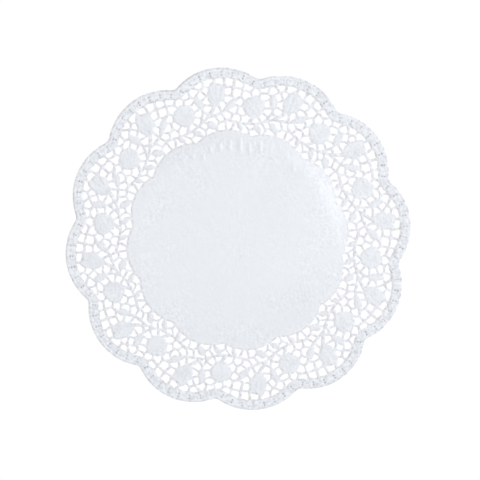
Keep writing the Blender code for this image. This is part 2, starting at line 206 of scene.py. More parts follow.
# One repeat of the net: the corners of each gap, in degrees anticlockwise from the crest and
# radii. A smooth curve runs through them.
GAPS = [
    # under the hem, from one notch to the next
    [(15.5, 131.4), (14.95, 131.9), (14.4, 131.4), (13.9, 130.1), (13.5, 129), (13.7, 127.8),
     (13.95, 126.4), (14.3, 126), (15, 126.4), (15.5, 125.8), (15.9, 125.6), (16.2, 126.3),
     (16.55, 128), (16.5, 128.7), (16.05, 129.9)],
    [(13.5, 131.8), (12.9, 132.8), (12.1, 133.1), (11.1, 134.8), (10.55, 135.1), (10.75, 133.5),
     (10.9, 130.2), (12.5, 129.8), (13.1, 130.2)],
    [(9.45, 135.8), (8.9, 136.2), (8, 134.9), (7.4, 134), (7, 133.1), (7.5, 131.6), (8.3, 130.3),
     (8.9, 129.1), (9.2, 129), (9.8, 130.2), (10.05, 131.3), (9.9, 133.8)],
    [(7.95, 137.6), (7.7, 138.2), (6.9, 138.5), (6.1, 139.4), (5.2, 139.5), (4.85, 138.6),
     (4.85, 137), (5.1, 135.6), (5.9, 134.4), (6.4, 134.5), (7.1, 135.9)],
    [(4.25, 139.9), (3.6, 140.3), (2.6, 140.9), (1.1, 140.9), (0.75, 140), (1.1, 138.4),
     (2.05, 136.8), (2.4, 135.5), (2.75, 134.8), (3.1, 134.9), (4.05, 136.5), (4.1, 138.3)],
    [(-0.25, 140.7), (-0.9, 141), (-1.8, 140.6), (-2.6, 139.9), (-2.7, 138.2), (-2.65, 135.9),
     (-2.4, 135), (-2.1, 135.1), (-1.7, 135.8), (-0.95, 136), (-0.5, 136.7), (0.1, 137.3),
     (0.15, 138), (-0.05, 139.3)],
    [(-3.55, 139.9), (-3.8, 140.4), (-4.5, 140.6), (-5.1, 139.8), (-6, 139.4), (-6.45, 138.7),
     (-6.1, 136.2), (-6.05, 134.3), (-5.6, 133.7), (-4.4, 133.6), (-3.7, 134.1), (-3.5, 136)],
    [(-7.2, 137.7), (-7.5, 138.3), (-8.2, 138.2), (-8.8, 137), (-9.5, 136.3), (-9.8, 135.5),
     (-9.75, 132.7), (-9.3, 131.9), (-8, 132.5), (-7.2, 132.9), (-6.95, 133.8), (-7, 135.5)],
    [(-10.4, 134.3), (-10.9, 135.1), (-11.5, 135.1), (-12.1, 134), (-13, 133.2), (-13.6, 132.8),
     (-13.7, 132.2), (-13.1, 130.9), (-12.8, 130.1), (-12.3, 129.9), (-11, 130.8), (-10.5, 131.3),
     (-10.35, 132.5)],
    # beside the carnation
    [(13.1, 125.7), (12.9, 127), (12.5, 127.9), (11, 128.6), (10.5, 128.4), (9.5, 127.2),
     (9.35, 126.3), (9.7, 125.6), (10.8, 124.1), (11.2, 123.8), (12.5, 124.1), (12.95, 124.9)],
    [(5.3, 132.5), (4.8, 134), (4.2, 134.5), (3.3, 133.7), (3.1, 132.9), (3.7, 129.6), (4, 128.7),
     (4.3, 128.9), (5, 131.2)],
    [(6.3, 131.8), (5.9, 131.2), (5.35, 129.5), (4.8, 127.5), (5.5, 126.2), (6.1, 125.4),
     (6.4, 125.3), (6.7, 125.9), (7.15, 128.2), (7.45, 129.6), (7.1, 130.7)],
    [(4.2, 126), (3.85, 125.4), (4, 123.6), (3.6, 121.7), (3.35, 120.2), (3.65, 119.7), (5, 120.5),
     (5.9, 120.9), (6.1, 121.7), (5.8, 123.8), (5.2, 124.8)],
    [(-3, 130.9), (-3.3, 131.6), (-4.3, 131.8), (-5.2, 131.7), (-5.6, 131.1), (-5.45, 129),
     (-5.15, 126.7), (-4.8, 126.1), (-3.4, 126.3), (-3, 126.8), (-2.9, 127.8), (-3.05, 129.2)],
    [(-6.6, 130.3), (-6.95, 131), (-8, 130.6), (-9.1, 130.1), (-9.4, 129.3), (-9.2, 126.5),
     (-9, 124.8), (-8.4, 124.3), (-7.4, 123.8), (-6.9, 124.2), (-6.1, 125.3), (-5.9, 126.1),
     (-6.35, 128)],
    [(-10.25, 128.4), (-10.55, 129.1), (-10.9, 129), (-11.9, 127.9), (-12.6, 127.6),
     (-12.95, 126.6), (-13.2, 124.8), (-12.9, 124.1), (-11.8, 123.6), (-11.2, 122.1),
     (-10.75, 121.9), (-10.2, 123.5), (-9.9, 125)],
    # between the carnation's stem and the roses
    [(9.55, 123.7), (9.3, 123.4), (9.15, 121.5), (8.85, 120.1), (8.55, 119.3), (8.75, 118.5),
     (9.8, 117.7), (10.4, 117.5), (10.65, 118.2), (11.2, 121.1), (11.05, 121.9), (10.4, 122.6)],
    [(11.15, 113.8), (10.6, 115.1), (10, 116), (8.8, 116.5), (8.1, 117.1), (7.65, 116.7),
     (7.6, 115.2), (8.05, 112.3), (8.4, 111.3), (8.8, 111.1), (9.7, 112.2), (10.9, 113.1)],
    [(5.7, 119), (4.6, 118.4), (3.2, 118.05), (2.8, 117.4), (3.2, 116.2), (4.3, 113.6),
     (4.8, 112.9), (5.2, 113.2), (6.2, 114.6), (6.6, 116.2), (6.4, 117.8), (6.1, 118.7)],
    [(6.9, 112.1), (6.3, 112), (5.8, 111.5), (5.65, 111), (6.2, 109.8), (7, 108.6), (7.4, 108.4),
     (7.65, 108.8), (7.35, 110.3)],
    [(-1.7, 120.9), (-1.1, 120.3), (-0.5, 118.6), (-0.6, 116.8), (-1.1, 113.4), (-1.35, 112.9),
     (-1.65, 113.2), (-2.1, 115.2), (-2.8, 116.5), (-2.95, 117.7), (-2.5, 119.3), (-2.15, 120.4)],
    [(-2.75, 123.4), (-3, 124.3), (-4, 124.7), (-5.1, 124.4), (-5.7, 123.6), (-6.1, 122.8),
     (-5.8, 122.1), (-4.8, 121.2), (-4.2, 120.4), (-3.75, 119.4), (-3.4, 119.8), (-2.8, 121.9)],
    [(-9.1, 122.7), (-8.4, 122), (-7.4, 120.5), (-7.05, 119.4), (-7.4, 118.6), (-8.1, 117.5),
     (-8.6, 116.4), (-8.95, 116.4), (-9.8, 117.6), (-9.9, 119.2), (-10.2, 120.4), (-10, 121.3)],
    [(1.2, 116.4), (0.85, 117.1), (0.5, 116.6), (0.2, 114.8), (-0.15, 113), (-0.1, 112.2),
     (0.5, 111.7), (1.9, 111.3), (3.3, 110.3), (3.7, 110.5), (3.4, 111.5), (2.5, 113.1),
     (1.8, 114.8)],
    [(-6.55, 116), (-6.95, 116.9), (-7.4, 116.4), (-7.75, 115), (-7.6, 113), (-7.2, 111.4),
     (-6.4, 110.4), (-5.9, 110.3), (-5.4, 110.9), (-4.5, 112.3), (-4.35, 113.1), (-5, 113.9),
     (-6, 114.7)],
    [(-9.1, 114.9), (-9.6, 115.2), (-10.05, 114.9), (-10.5, 113), (-11.3, 110.6), (-11.15, 109.8),
     (-10, 108.5), (-9.6, 108.4), (-9.2, 109), (-8.4, 110.6), (-8.35, 111.5), (-8.7, 113.7)],
    # beside the running stem, outside it
    [(11.1, 111.3), (10.4, 110.8), (9.2, 109.7), (8.9, 109), (9.3, 107.8), (10.4, 105.3),
     (10.75, 105), (11.1, 105.6), (11.7, 107.4), (12.35, 108.6), (12.1, 109.6), (11.5, 110.9)],
    [(13.8, 107.3), (13.2, 107.3), (12.7, 106.4), (11.9, 104.5), (12.1, 103.9), (13.2, 103.5),
     (14.7, 102.8), (15.15, 103), (15.2, 103.6), (14.4, 106.2)],
    [(-12.1, 108.8), (-12.6, 108.4), (-12.9, 107.3), (-13.7, 107.3), (-14.15, 106.8),
     (-13.3, 104.9), (-12.7, 103), (-12.3, 102.6), (-10.3, 102.5), (-9.8, 102.9), (-10, 106.3),
     (-10.4, 107.1)],
    [(-2.9, 111.8), (-3.4, 111.6), (-4.3, 110.2), (-5, 109.1), (-4.95, 108), (-4.5, 106.2),
     (-4.1, 105.6), (-3.4, 106), (-2.7, 106.2), (-2.3, 106.8), (-1.9, 108.6), (-1.45, 110),
     (-1.8, 110.8)],
    [(-5.8, 107.3), (-6.1, 108.2), (-6.7, 108.7), (-7.8, 109.1), (-8.2, 109), (-8.9, 107.2),
     (-9.1, 105.8), (-8.9, 103.7), (-8.5, 103), (-8, 103.1), (-7, 104), (-5.7, 104.3),
     (-5.35, 104.9)],
    [(1.45, 108.4), (1.1, 109.1), (0.3, 109.4), (-0.5, 109.8), (-0.85, 109.2), (-0.9, 107.9),
     (-1.6, 105.3), (-1.4, 104.6), (0.2, 104.4), (0.6, 104.9), (0.95, 106.6), (1.4, 107.9)],
    [(7.05, 105.7), (6.6, 106.8), (5.6, 107.9), (4.5, 108.1), (3, 108.5), (2.5, 108.1),
     (2.1, 106.4), (1.2, 103.7), (1.4, 102.4), (1.9, 101.8), (2.3, 102), (3, 103.4), (3.7, 104.9),
     (4.4, 105.6), (5.6, 105.8), (6.6, 105.2)],
    # between the running stem and the plain centre
    [(9.95, 103.5), (9.3, 104.2), (8.4, 104.9), (7.9, 105.1), (7.5, 104.8), (7.1, 103.8),
     (6.65, 102.1), (6.7, 101.5), (7.2, 100.7), (7.9, 100.2), (8.4, 100.8), (9.3, 102.4)],
    [(12.4, 101.1), (11.9, 102), (11, 102.7), (10.5, 102.3), (9.9, 101), (8.8, 99.2), (8.6, 98.4),
     (8.75, 96.5), (8.95, 94.6), (9.4, 94.3), (9.75, 94.7), (10.05, 96.6), (10.6, 98.9),
     (11.2, 99.9)],
    [(17.75, 100.4), (17.2, 100.7), (16.5, 100.4), (15.8, 100.6), (15, 100.9), (14.5, 100.6),
     (14.25, 99.9), (14.3, 99.1), (15, 98.1), (15.5, 97.5), (16, 97.2), (16.5, 97.6), (17.4, 99.1),
     (17.8, 99.9)],
    [(1.65, 98.8), (1.5, 100.2), (0.7, 101.8), (0.1, 102.5), (-0.8, 102.7), (-1.35, 103),
     (-1.7, 102.5), (-1.6, 99.2), (-1.9, 97.3), (-1.7, 96.6), (-1, 96.4), (0.9, 96.4), (1.35, 96.8),
     (1.6, 97.8)],
    [(-2.5, 102.9), (-2.9, 103.6), (-3.9, 103.3), (-4.9, 102.6), (-5.65, 102.1), (-5.8, 101.5),
     (-5.3, 100.6), (-4.8, 98.8), (-4.1, 96.8), (-3.6, 96.3), (-3.1, 96.5), (-2.75, 98),
     (-2.55, 100.5)],
    [(-6.7, 100.9), (-7, 101.7), (-7.4, 101.5), (-7.65, 100.2), (-7.8, 98.6), (-8.3, 97.1),
     (-9.1, 96), (-9.15, 95.3), (-8.8, 94.9), (-8, 95), (-6.6, 95.5), (-5.6, 95.6), (-5.2, 96.1),
     (-5.6, 97.4), (-6.4, 99.3)],
    [(-10.05, 100.2), (-10.4, 100.8), (-11, 99.9), (-12.2, 98), (-13, 96.4), (-13.3, 95),
     (-13.25, 93.2), (-12.9, 92.8), (-12.3, 93.2), (-10.9, 93.7), (-10.35, 94.4), (-10.35, 96),
     (-10.55, 97.4), (-10.3, 99)],
    [(15.65, 95.3), (15.3, 95.9), (14.6, 96.5), (13.9, 97.1), (13.5, 96.9), (12.6, 95.6),
     (11.7, 94.9), (11, 94.4), (10.95, 93.9), (11.5, 93.2), (13.2, 92.1), (14.4, 91.4),
     (15.2, 91.4), (15.7, 92.2)],
    [(6.7, 99.7), (6, 99.9), (5.3, 99.2), (4.5, 98.2), (3.4, 97.8), (2.95, 97.1), (3.2, 96.4),
     (4, 96), (5.4, 95.8), (6.6, 95.2), (7.5, 94.8), (8, 95), (8.05, 95.6), (7.7, 97), (7.5, 98.4)],
]

# The flowers of one repeat: middle, half length along the lean, half width, and the
# lean in degrees clockwise from the radius.
Motif = namedtuple("Motif", "angle radius length width lean")
IS_ROSE, IS_CARNATION, IS_LEAF = 1, 2, 3
ROSE = Motif(15.1, 116.2, 9.1, 9.1, 0)
CARNATION = Motif(0.3, 127.4, 9.3, 7.1, 14)
LEAVES = [
    Motif(7.65, 123.5, 6.5, 2.8, -9),
    Motif(-4.75, 117.1, 8.4, 2.4, 46),
    Motif(4.3, 100.9, 6.5, 2.6, -45),
    Motif(12.1, 97.3, 5.0, 2.0, -48),
    Motif(-9.45, 98.0, 4.6, 1.6, -18),
]
# Streaks and flutes in their shading: how many to a whole turn or to a radian, or their pitch.
ROSE_FLUTES = 26
ROSE_STREAKS = 3.4
SPIRAL_PITCH = 2.3
CARNATION_FOLDS = 28
CARNATION_STREAKS = 9.0
TEETH = 19  # along the carnation's outer edge
VEIN_PITCH = 1.9
VARIETY = 25  # how fast the streaks change from one flower to the next, to a metre

# Swells and creases of the whole sheet.
DOME = 1.2  # how far the middle of the plain centre stands over the lace
DOME_RADII = (15.0, 102.0)
RIM = 0.25  # the step down at the rim of the plain centre
RIM_RADII = (84.0, 99.0)
BULGE = 2.2  # a steeper swell along one side of it
BULGE_MIDDLE, BULGE_HALF = 22.0, 43.0  # its direction and half its width, in degrees
BULGE_START, BULGE_CREST, BULGE_END = 5.0, 81.0, 98.0
HEM_LIFT = 0.08  # the hem stands up a little
HEM_RADII = (128, 146)
# Creases near the rim of the plain centre: where each one starts and ends, and its height.
Crease = namedtuple("Crease", "angle outer inner_angle inner rise")
CREASES = [Crease(*form) for form in (
    (115.2, 84.6, 116.9, 81.0, 0.25), (108.7, 83.3, 110.3, 78.8, 0.39), (102.9, 79.8, 104.3, 75.2, 0.42),
    (97.3, 83.6, 98.3, 78.7, 0.42), (91.3, 85.9, 92.3, 77.6, 0.48), (89.0, 87.6, 89.3, 84.0, 0.28),
    (85.7, 87.1, 86.1, 78.7, 0.48), (79.9, 88.4, 79.5, 77.0, 0.62), (74.5, 84.8, 73.5, 75.5, 0.42),
    (72.2, 88.4, 71.7, 84.2, 0.28), (68.6, 88.0, 66.9, 78.6, 0.53), (64.9, 86.3, 63.8, 80.6, 0.25),
    (61.9, 88.7, 61.4, 81.3, 0.30), (57.9, 91.0, 57.1, 86.8, 0.26), (53.1, 89.0, 50.5, 84.3, 0.20),
    (45.9, 83.8, 43.3, 77.9, 0.24), (-27.2, 90.0, -29.5, 84.0, 0.22), (-33.0, 91.0, -35.0, 85.0, 0.20),
)]
CREASE_RISE = 1.2  # how much higher they are than that
CREASE_BACK = 3.6  # how wide a crease's gentle side is, and its steep side
CREASE_FACE = 1.9
CREASE_FADE = 1.5  # how far past its ends it fades


# ---- plane geometry

def polar(points):
    """Angles in degrees and radii of points about the doily's middle."""
    x, y = points.T
    return np.degrees(np.arctan2(y, x)), np.hypot(x, y)


def place(angle, radius):
    """Points at angles in degrees and radii."""
    turn = np.radians(angle)
    return np.stack([radius * np.cos(turn), radius * np.sin(turn)], -1)


def turned(points, angle):
    """The points turned about the doily's middle by degrees."""
    c, s = math.cos(math.radians(angle)), math.sin(math.radians(angle))
    return points @ np.array([[c, s], [-s, c]])


def folded(points):
    """The points turned by whole repeats into the one about +X."""
    angle, radius = polar(points)
    return place((angle + STEP / 2) % STEP - STEP / 2, radius)


def bump(x):
    """A smooth hump: 1 at 0, and 0 from -1 and 1 on."""
    return np.clip(1 - x * x, 0, None) ** 2


def ridge(x, form):
    """The height of a ridge or groove across which x runs."""
    return form.height * bump(x / form.half)


def ramp(x, start, end):
    """A smooth step from 0 at the start to 1 at the end."""
    t = np.clip((x - start) / (end - start), 0, 1)
    return t * t * (3 - 2 * t)


def local(points, motif, repeat=0):
    """The points along and across a motif's lean, from its middle."""
    middle = place(motif.angle + STEP * repeat, motif.radius)
    lean = math.radians(motif.angle + STEP * repeat - motif.lean)
    away = points - middle
    along = away @ np.array([math.cos(lean), math.sin(lean)])
    across = away @ np.array([-math.sin(lean), math.cos(lean)])
    return along, across


# ---- the cut pattern

def edge_depth(points):
    """How far inside the scalloped outer edge the points are."""
    half = math.radians(STEP / 2)
    angle, radius = polar(folded(turned(points, -SCALLOP_TURN)))
    here = place(np.abs(angle), radius)
    along, across = SCALLOP_MIDDLE * math.cos(half), SCALLOP_MIDDLE * math.sin(half)
    notch = along + math.sqrt((ARC + FILLET) ** 2 - across ** 2)
    middle, fillet_middle = np.array([SCALLOP_MIDDLE, 0]), place(STEP / 2, notch)
    from_arc, from_fillet = here - middle, here - fillet_middle
    toward = fillet_middle - middle
    past = toward[0] * from_arc[:, 1] > toward[1] * from_arc[:, 0]
    on_arc = ARC - np.hypot(*from_arc.T)
    on_fillet = np.hypot(*from_fillet.T) - FILLET
    return np.where(past, on_fillet, on_arc)


def rounded(corners, steps=6):
    """A closed smooth curve through the corners, as a fine outline."""
    share = (np.arange(steps) / steps)[None, :, None]
    before, start, end, after = [np.roll(corners, k, axis=0)[:, None] for k in (1, 0, -1, -2)]
    curve = start + (end - before) / 2 * share
    curve += (before - 2.5 * start + 2 * end - after / 2) * share ** 2
    curve += (1.5 * (start - end) + (after - before) / 2) * share ** 3
    return curve.reshape(-1, 2)


def outline_depth(points, outline):
    """How far inside a closed outline the points are."""
    starts, ends = outline, np.roll(outline, -1, axis=0)
    run = ends - starts
    away = points[:, None] - starts[None]
    share = np.clip((away * run).sum(2) / (run ** 2).sum(1), 0, 1)
    distance = np.linalg.norm(away - share[:, :, None] * run, axis=2).min(1)
    above = starts[None, :, 1] > points[:, 1, None]
    crosses = above != (ends[None, :, 1] > points[:, 1, None])
    rise = np.where(run[:, 1] == 0, 1, run[:, 1])
    at = starts[:, 0] + run[:, 0] / rise * (points[:, 1, None] - starts[None, :, 1])
    inside = (crosses & (points[:, 0, None] < at)).sum(1) % 2 == 1
    return np.where(inside, distance, -distance)


def leaf_distance(points, leaf, repeat=0):
    """How far outside a leaf, a lens of two arcs, the points are."""
    along, across = local(points, leaf, repeat)
    arc = (leaf.length ** 2 + leaf.width ** 2) / (2 * leaf.width)
    offset = arc - leaf.width
    side = np.hypot(along, np.abs(across) + offset) - arc
    tip = np.hypot(np.abs(along) - leaf.length, across)
    past_tip = np.abs(across) * leaf.length < (np.abs(along) - leaf.length) * offset
    return np.where(past_tip, tip, side)


def gap_depth(points):
    """How far into a gap the points are; less than zero in the paper."""
    here = folded(points)
    depth = np.full(len(here), -REACH)
    for repeat in (-1, 0, 1):
        for outline in GAP_OUTLINES:
            outline = turned(outline, STEP * repeat)
            low, high = outline.min(0) - REACH, outline.max(0) + REACH
            near = np.flatnonzero(((here > low) & (here < high)).all(1))
            if len(near):
                depth[near] = np.maximum(depth[near], outline_depth(here[near], outline))
    return depth


def directions(steps):
    """The directions of steps from point to point, and the directions to their left."""
    along = steps / np.linalg.norm(steps, axis=1)[:, None]
    return along, np.stack([-along[:, 1], along[:, 0]], -1)


def trimmed(outline):
    """A closed outline of a gap moved inwards."""
    _, inward = directions(np.roll(outline, -1, axis=0) - np.roll(outline, 1, axis=0))
    x, y = outline.T
    area = (x * np.roll(y, -1) - y * np.roll(x, -1)).sum()
    return outline + inward * GAP_TRIM * np.sign(area)


def spread_out(line, costs, whole, spacing=1):
    """Points spread evenly along a line over the costs of its steps."""
    reached = np.concatenate([[0], np.cumsum(costs)])
    stops = np.linspace(0, reached[-1], whole(reached[-1] / spacing), endpoint=False)
    return np.stack([np.interp(stops, reached, line[:, axis]) for axis in (0, 1)], -1)


def evenly_bent(outline):
    """A closed outline redrawn with points close together where it bends."""
    closed = np.vstack([outline, outline[:1]])
    sides = np.diff(closed, axis=0)
    lengths = np.linalg.norm(sides, axis=1)
    headings = np.arctan2(sides[:, 1], sides[:, 0])
    bends = np.abs((np.diff(headings, append=headings[:1]) + math.pi) % (2 * math.pi) - math.pi)
    spread = [1 / 5] * 5  # each bend counts over five points
    bends = np.convolve(np.concatenate([bends[-2:], bends, bends[:2]]), spread, "valid")
    return spread_out(closed, lengths / OUTLINE_SPACING + bends / OUTLINE_TURN, math.ceil)


GAP_OUTLINES = [trimmed(evenly_bent(rounded(place(*np.array(corners).T)))) for corners in GAPS]


def outer_outline(samples=400, halvings=30):
    """One repeat of the hem's outer edge with its small beads, from notch to notch."""
    fine = np.linspace(-STEP / 2, STEP / 2, samples) + SCALLOP_TURN
    near, far = np.full(samples, DIAMETER * 0.4), np.full(samples, DIAMETER * 0.55)
    for _ in range(halvings):
        halfway = (near + far) / 2
        inside = edge_depth(place(fine, halfway)) > 0
        near, far = np.where(inside, halfway, near), np.where(inside, far, halfway)
    edge = place(fine, near)
    turn = polar(turned(edge, -SCALLOP_TURN) - np.array([SCALLOP_MIDDLE, 0]))[0]
    beads = np.cos(2 * math.pi * (turn - PIT_TURN / 2 - BEAD_TURN) / (PIT_TURN / BEADS))
    swell = BEAD_RISE * (beads - 1) * ramp(near, *BEAD_RADII)
    edge *= (1 + swell / near)[:, None]
    return spread_out(edge, np.linalg.norm(np.diff(edge, axis=0), axis=1), round, HEM_SPACING)


# ---- the relief

def in_scallop(points):
    """The points turned into the scallop about +X, from its middle."""
    return folded(turned(points, -SCALLOP_TURN)) - np.array([SCALLOP_MIDDLE, 0])


PIT_TURNS = (np.arange(PAIRS) - (PAIRS - 1) / 2) * PIT_TURN
PITS = np.vstack([place(PIT_TURNS, ARC - row) for row in PIT_ROWS])


def pit_depth(from_middle):
    """How much of a pit, from 0 to 1, is at points seen from a scallop's middle."""
    near = np.linalg.norm(from_middle[:, None] - PITS[None], axis=2).min(1)
    return bump(near / PIT_RADIUS)


def shoulder(depth, width):
    """The rise of the pressed paper inwards from an edge, from 0 to 1."""
    return 1 - (1 - np.clip(depth / width, 0, 1)) ** 2


def petal_edges(turn):
    """Radii of a rose's three rings of petals at angles in radians."""
    return [
        1.6 + 0.25 * np.cos(3 * turn),
        3.9 - 0.5 * np.abs(np.cos(2.5 * turn + 0.4)),
        6.5 - 0.6 * np.abs(np.cos(3.5 * turn)),
    ]


def rose_relief(points):
    """A rose: rings of petals on a low dome."""
    height = np.zeros(len(points))
    for repeat in (-1, 0):
        along, across = local(points, ROSE, repeat)
        reach, turn = np.hypot(along, across), np.arctan2(across, along)
        dome = ROSE_DOME * np.sqrt(np.clip(1 - (reach / ROSE.length) ** 2, 0, 1))
        for ring in petal_edges(turn):
            dome += ridge(reach - ring, PETAL_GROOVE)
        height += dome
    return height


def carnation_relief(points):
    """A carnation: flutes that fan out from the calyx, over a bulge."""
    along, across = local(points, CARNATION)
    from_calyx = along + CARNATION.length
    reach, turn = np.hypot(from_calyx, across), np.arctan2(across, from_calyx)
    inside = np.clip(1 - np.hypot(along / CARNATION.length, across / CARNATION.width), 0, 1)
    fan = CARNATION_DOME * np.sqrt(inside)
    fan += FLUTE_RISE * np.cos(CARNATION_FLUTES * turn) * ramp(reach, *FLUTE_ENDS)
    for tier in TIERS:
        fan += ridge(reach - tier, TIER_GROOVE)
    return fan * ramp(inside, 0, 0.12)


def leaf_relief(points):
    """The midribs of the leaves."""
    height = np.zeros(len(points))
    for repeat in (-1, 0, 1):
        for leaf in LEAVES:
            _, across = local(points, leaf, repeat)
            inside = ramp(-leaf_distance(points, leaf, repeat), 0, MIDRIB.half)
            height += inside * ridge(across, MIDRIB)
    return height


def relief(points, depth):
    """Heights of the pressed paper at points of one repeat, less the pits."""
    _, radius = polar(points)
    rise = RISE * (CENTRE_RISE + (1 - CENTRE_RISE) * ramp(radius, CENTRE, NET_START))
    height = rise * shoulder(depth, SHOULDER)
    motifs = rose_relief(points) + carnation_relief(points) + leaf_relief(points)
    height += ramp(depth, *WITHIN) * motifs
    return height - EDGE_DROP * (1 - shoulder(edge_depth(points), EDGE_WIDTH))


def crease_line(crease):
    """A crease's inner end, its direction, the direction to its right, and its length."""
    start, end = place(crease.inner_angle, crease.inner), place(crease.angle, crease.outer)
    length = np.linalg.norm(end - start)
    run = (end - start) / length
    return start, run, np.array([run[1], -run[0]]), length


def beside_crease(points, crease):
    """The points along a crease from its inner end and to its right, and its length."""
    start, run, right, length = crease_line(crease)
    return (points - start) @ run, (points - start) @ right, length


def swells(points):
    """The sheet's own shape: the plain centre stands a little over the lace, with creases."""
    angle, radius = polar(points)
    aside = (angle - BULGE_MIDDLE + 180) % 360 - 180
    out = DOME * (1 - ramp(radius, *DOME_RADII))
    out += RIM * (1 - ramp(radius, *RIM_RADII))
    bulge = ramp(radius, BULGE_START, BULGE_CREST) * (1 - ramp(radius, BULGE_CREST, BULGE_END))
    out += BULGE * bump(aside / BULGE_HALF) * bulge
    out += HEM_LIFT * ramp(radius, *HEM_RADII)
    for crease in CREASES:
        along, across, length = beside_crease(points, crease)
        ends = ramp(along, -1, 2) * (1 - ramp(along, length - CREASE_FADE, length + CREASE_FADE))
        across += CREASE_FACE / 2
        sides = ramp(across, -CREASE_BACK, 0) * (1 - ramp(across, 0, CREASE_FACE))
        out += CREASE_RISE * crease.rise * ends * sides
    return out


# ---- the mesh

def rose_points():
    """Points on a rose's petals: three rows along each of the three rings."""
    middle = place(ROSE.angle, ROSE.radius)
    points = [middle[None]]
    for index, count in enumerate((9, 22, 36)):
        turn = np.arange(count) * 2 * math.pi / count
        ring = petal_edges(turn)[index]
        around = np.degrees(turn + math.radians(ROSE.angle))
        for offset in (-0.6, 0, 0.6):
            points.append(middle + place(around, ring + offset))
    return np.vstack(points)


def motif_grid(motif, spacing):
    """A grid of points along and across a motif."""
    along = np.arange(-motif.length, motif.length + spacing, spacing)
    across = np.arange(0, motif.width + spacing, spacing)
    across = np.concatenate([-across[:0:-1], across])
    a, b = np.meshgrid(along, across)
    lean = math.radians(motif.angle - motif.lean)
    c, s = math.cos(lean), math.sin(lean)
    middle = place(motif.angle, motif.radius)
    return middle + np.stack([a * c - b * s, a * s + b * c], -1).reshape(-1, 2)


def hem_points():
    """Points along the hem, closer together near its outer edge."""
    outline = outer_outline()
    ahead = np.roll(outline, -1, axis=0)
    ahead[-1] = turned(outline[:1], STEP)[0]
    along, inward = directions(ahead - outline)
    rows = []
    for index, depth in enumerate(HEM_ROWS):
        shift = along * HEM_SPACING / 2 * ((index + 1) % 2)
        rows.append(outline + inward * depth + shift)
    return np.vstack(rows)


def row_points(index, radius, spacing):
    """A row of points around one repeat; every other row is shifted by half a step."""
    count = max(1, round(2 * math.pi * radius / REPEATS / spacing))
    angles = (np.arange(count) + index % 2 / 2) * STEP / count - STEP / 2
    return place(angles, radius)


def net_points():
    """Points along the crest and the foot of the shoulders, and between them."""
    radii = np.arange(CENTRE_END, DIAMETER / 2, NET_SPACING * ROW_PITCH)
    points = np.vstack([row_points(k, radius, NET_SPACING) for k, radius in enumerate(radii)])
    depth = -gap_depth(points)
    points, depth = points[depth > 0.05], depth[depth > 0.05]
    nudge = 0.05
    nudged = [-gap_depth(points + np.array(to)) for to in ((nudge, 0), (0, nudge))]
    slope = (np.stack(nudged, -1) - depth[:, None]) / nudge
    slope /= np.maximum(np.linalg.norm(slope, axis=1), 0.3)[:, None]
    target = np.where(depth < (CREST + FOOT) / 2, CREST, np.maximum(depth, FOOT))
    target = np.where(depth > FOOT + 0.5, depth, target)
    return points + slope * (target - depth)[:, None]


def centre_points():
    """Points over the plain centre, further apart towards the middle."""
    rows = [np.zeros((1, 2))]
    radius = CENTRE_END
    while radius > 4:
        spacing = float(CENTRE_SPACING + MIDDLE_SPACING * ramp(np.array(75 - radius), 0, 35))
        rows.append(row_points(len(rows) - 1, radius, spacing))
        radius -= spacing * ROW_PITCH
    return np.vstack(rows)


def crease_points():
    """Points on both sides of every crease."""
    kept = []
    for crease in CREASES:
        start, run, right, length = crease_line(crease)
        a, b = np.meshgrid(np.arange(-1.4, length + 1.5, 1.1), CREASE_ROWS)
        for point in start + a.reshape(-1, 1) * run + b.reshape(-1, 1) * right:
            if all(math.dist(point, other) > 0.5 for other in kept):
                kept.append(point)
    points = np.array(kept)
    return points[-gap_depth(points) > CREASE_ROOM]


def on_crease(points):
    """Which points lie where the creases have points of their own."""
    near = np.zeros(len(points), bool)
    for crease in CREASES:
        along, across, length = beside_crease(points, crease)
        near |= (along > -2) & (along < length + 2) & (across > -4.2) & (across < 2.6)
    return near


def thinned(groups, fixed):
    """Points of one repeat from several groups, each kept clear of those before it."""
    taken = {}  # by whole millimetres

    def add(point):
        for repeat in (-1, 0, 1):
            x, y = turned(point[None], STEP * repeat)[0]
            taken.setdefault((math.floor(x), math.floor(y)), []).append((x, y))

    def clear(point, room):
        i, j = math.floor(point[0]), math.floor(point[1])
        for di in (-1, 0, 1):
            for dj in (-1, 0, 1):
                for x, y in taken.get((i + di, j + dj), ()):
                    if (x - point[0]) ** 2 + (y - point[1]) ** 2 < room * room:
                        return False
        return True

    for point in fixed:
        add(point)
    kept = []
    for points, room in groups:
        for point in folded(points):
            if clear(point, room):
                add(point)
                kept.append(point)
    return np.array(kept)


def motif_places(points):
    """Places along and across the points' own flower or leaf, and its kind."""
    out = np.zeros((len(points), 3))

    def note(inside, along, across, kind):
        out[inside] = np.column_stack([along, across, np.full(len(points), kind)])[inside]

    for repeat in (-1, 0, 1):
        along, across = local(points, ROSE, repeat)
        note(np.hypot(along, across) < ROSE.length + 0.8, along, across, IS_ROSE)
        for leaf in LEAVES:
            inside = leaf_distance(points, leaf, repeat) < 0.6
            note(inside, *local(points, leaf, repeat), IS_LEAF)
    along, across = local(points, CARNATION)
    inside = np.hypot(along / (CARNATION.length + 1), across / (CARNATION.width + 1)) < 1
    note(inside, along + CARNATION.length, across, IS_CARNATION)
    return out


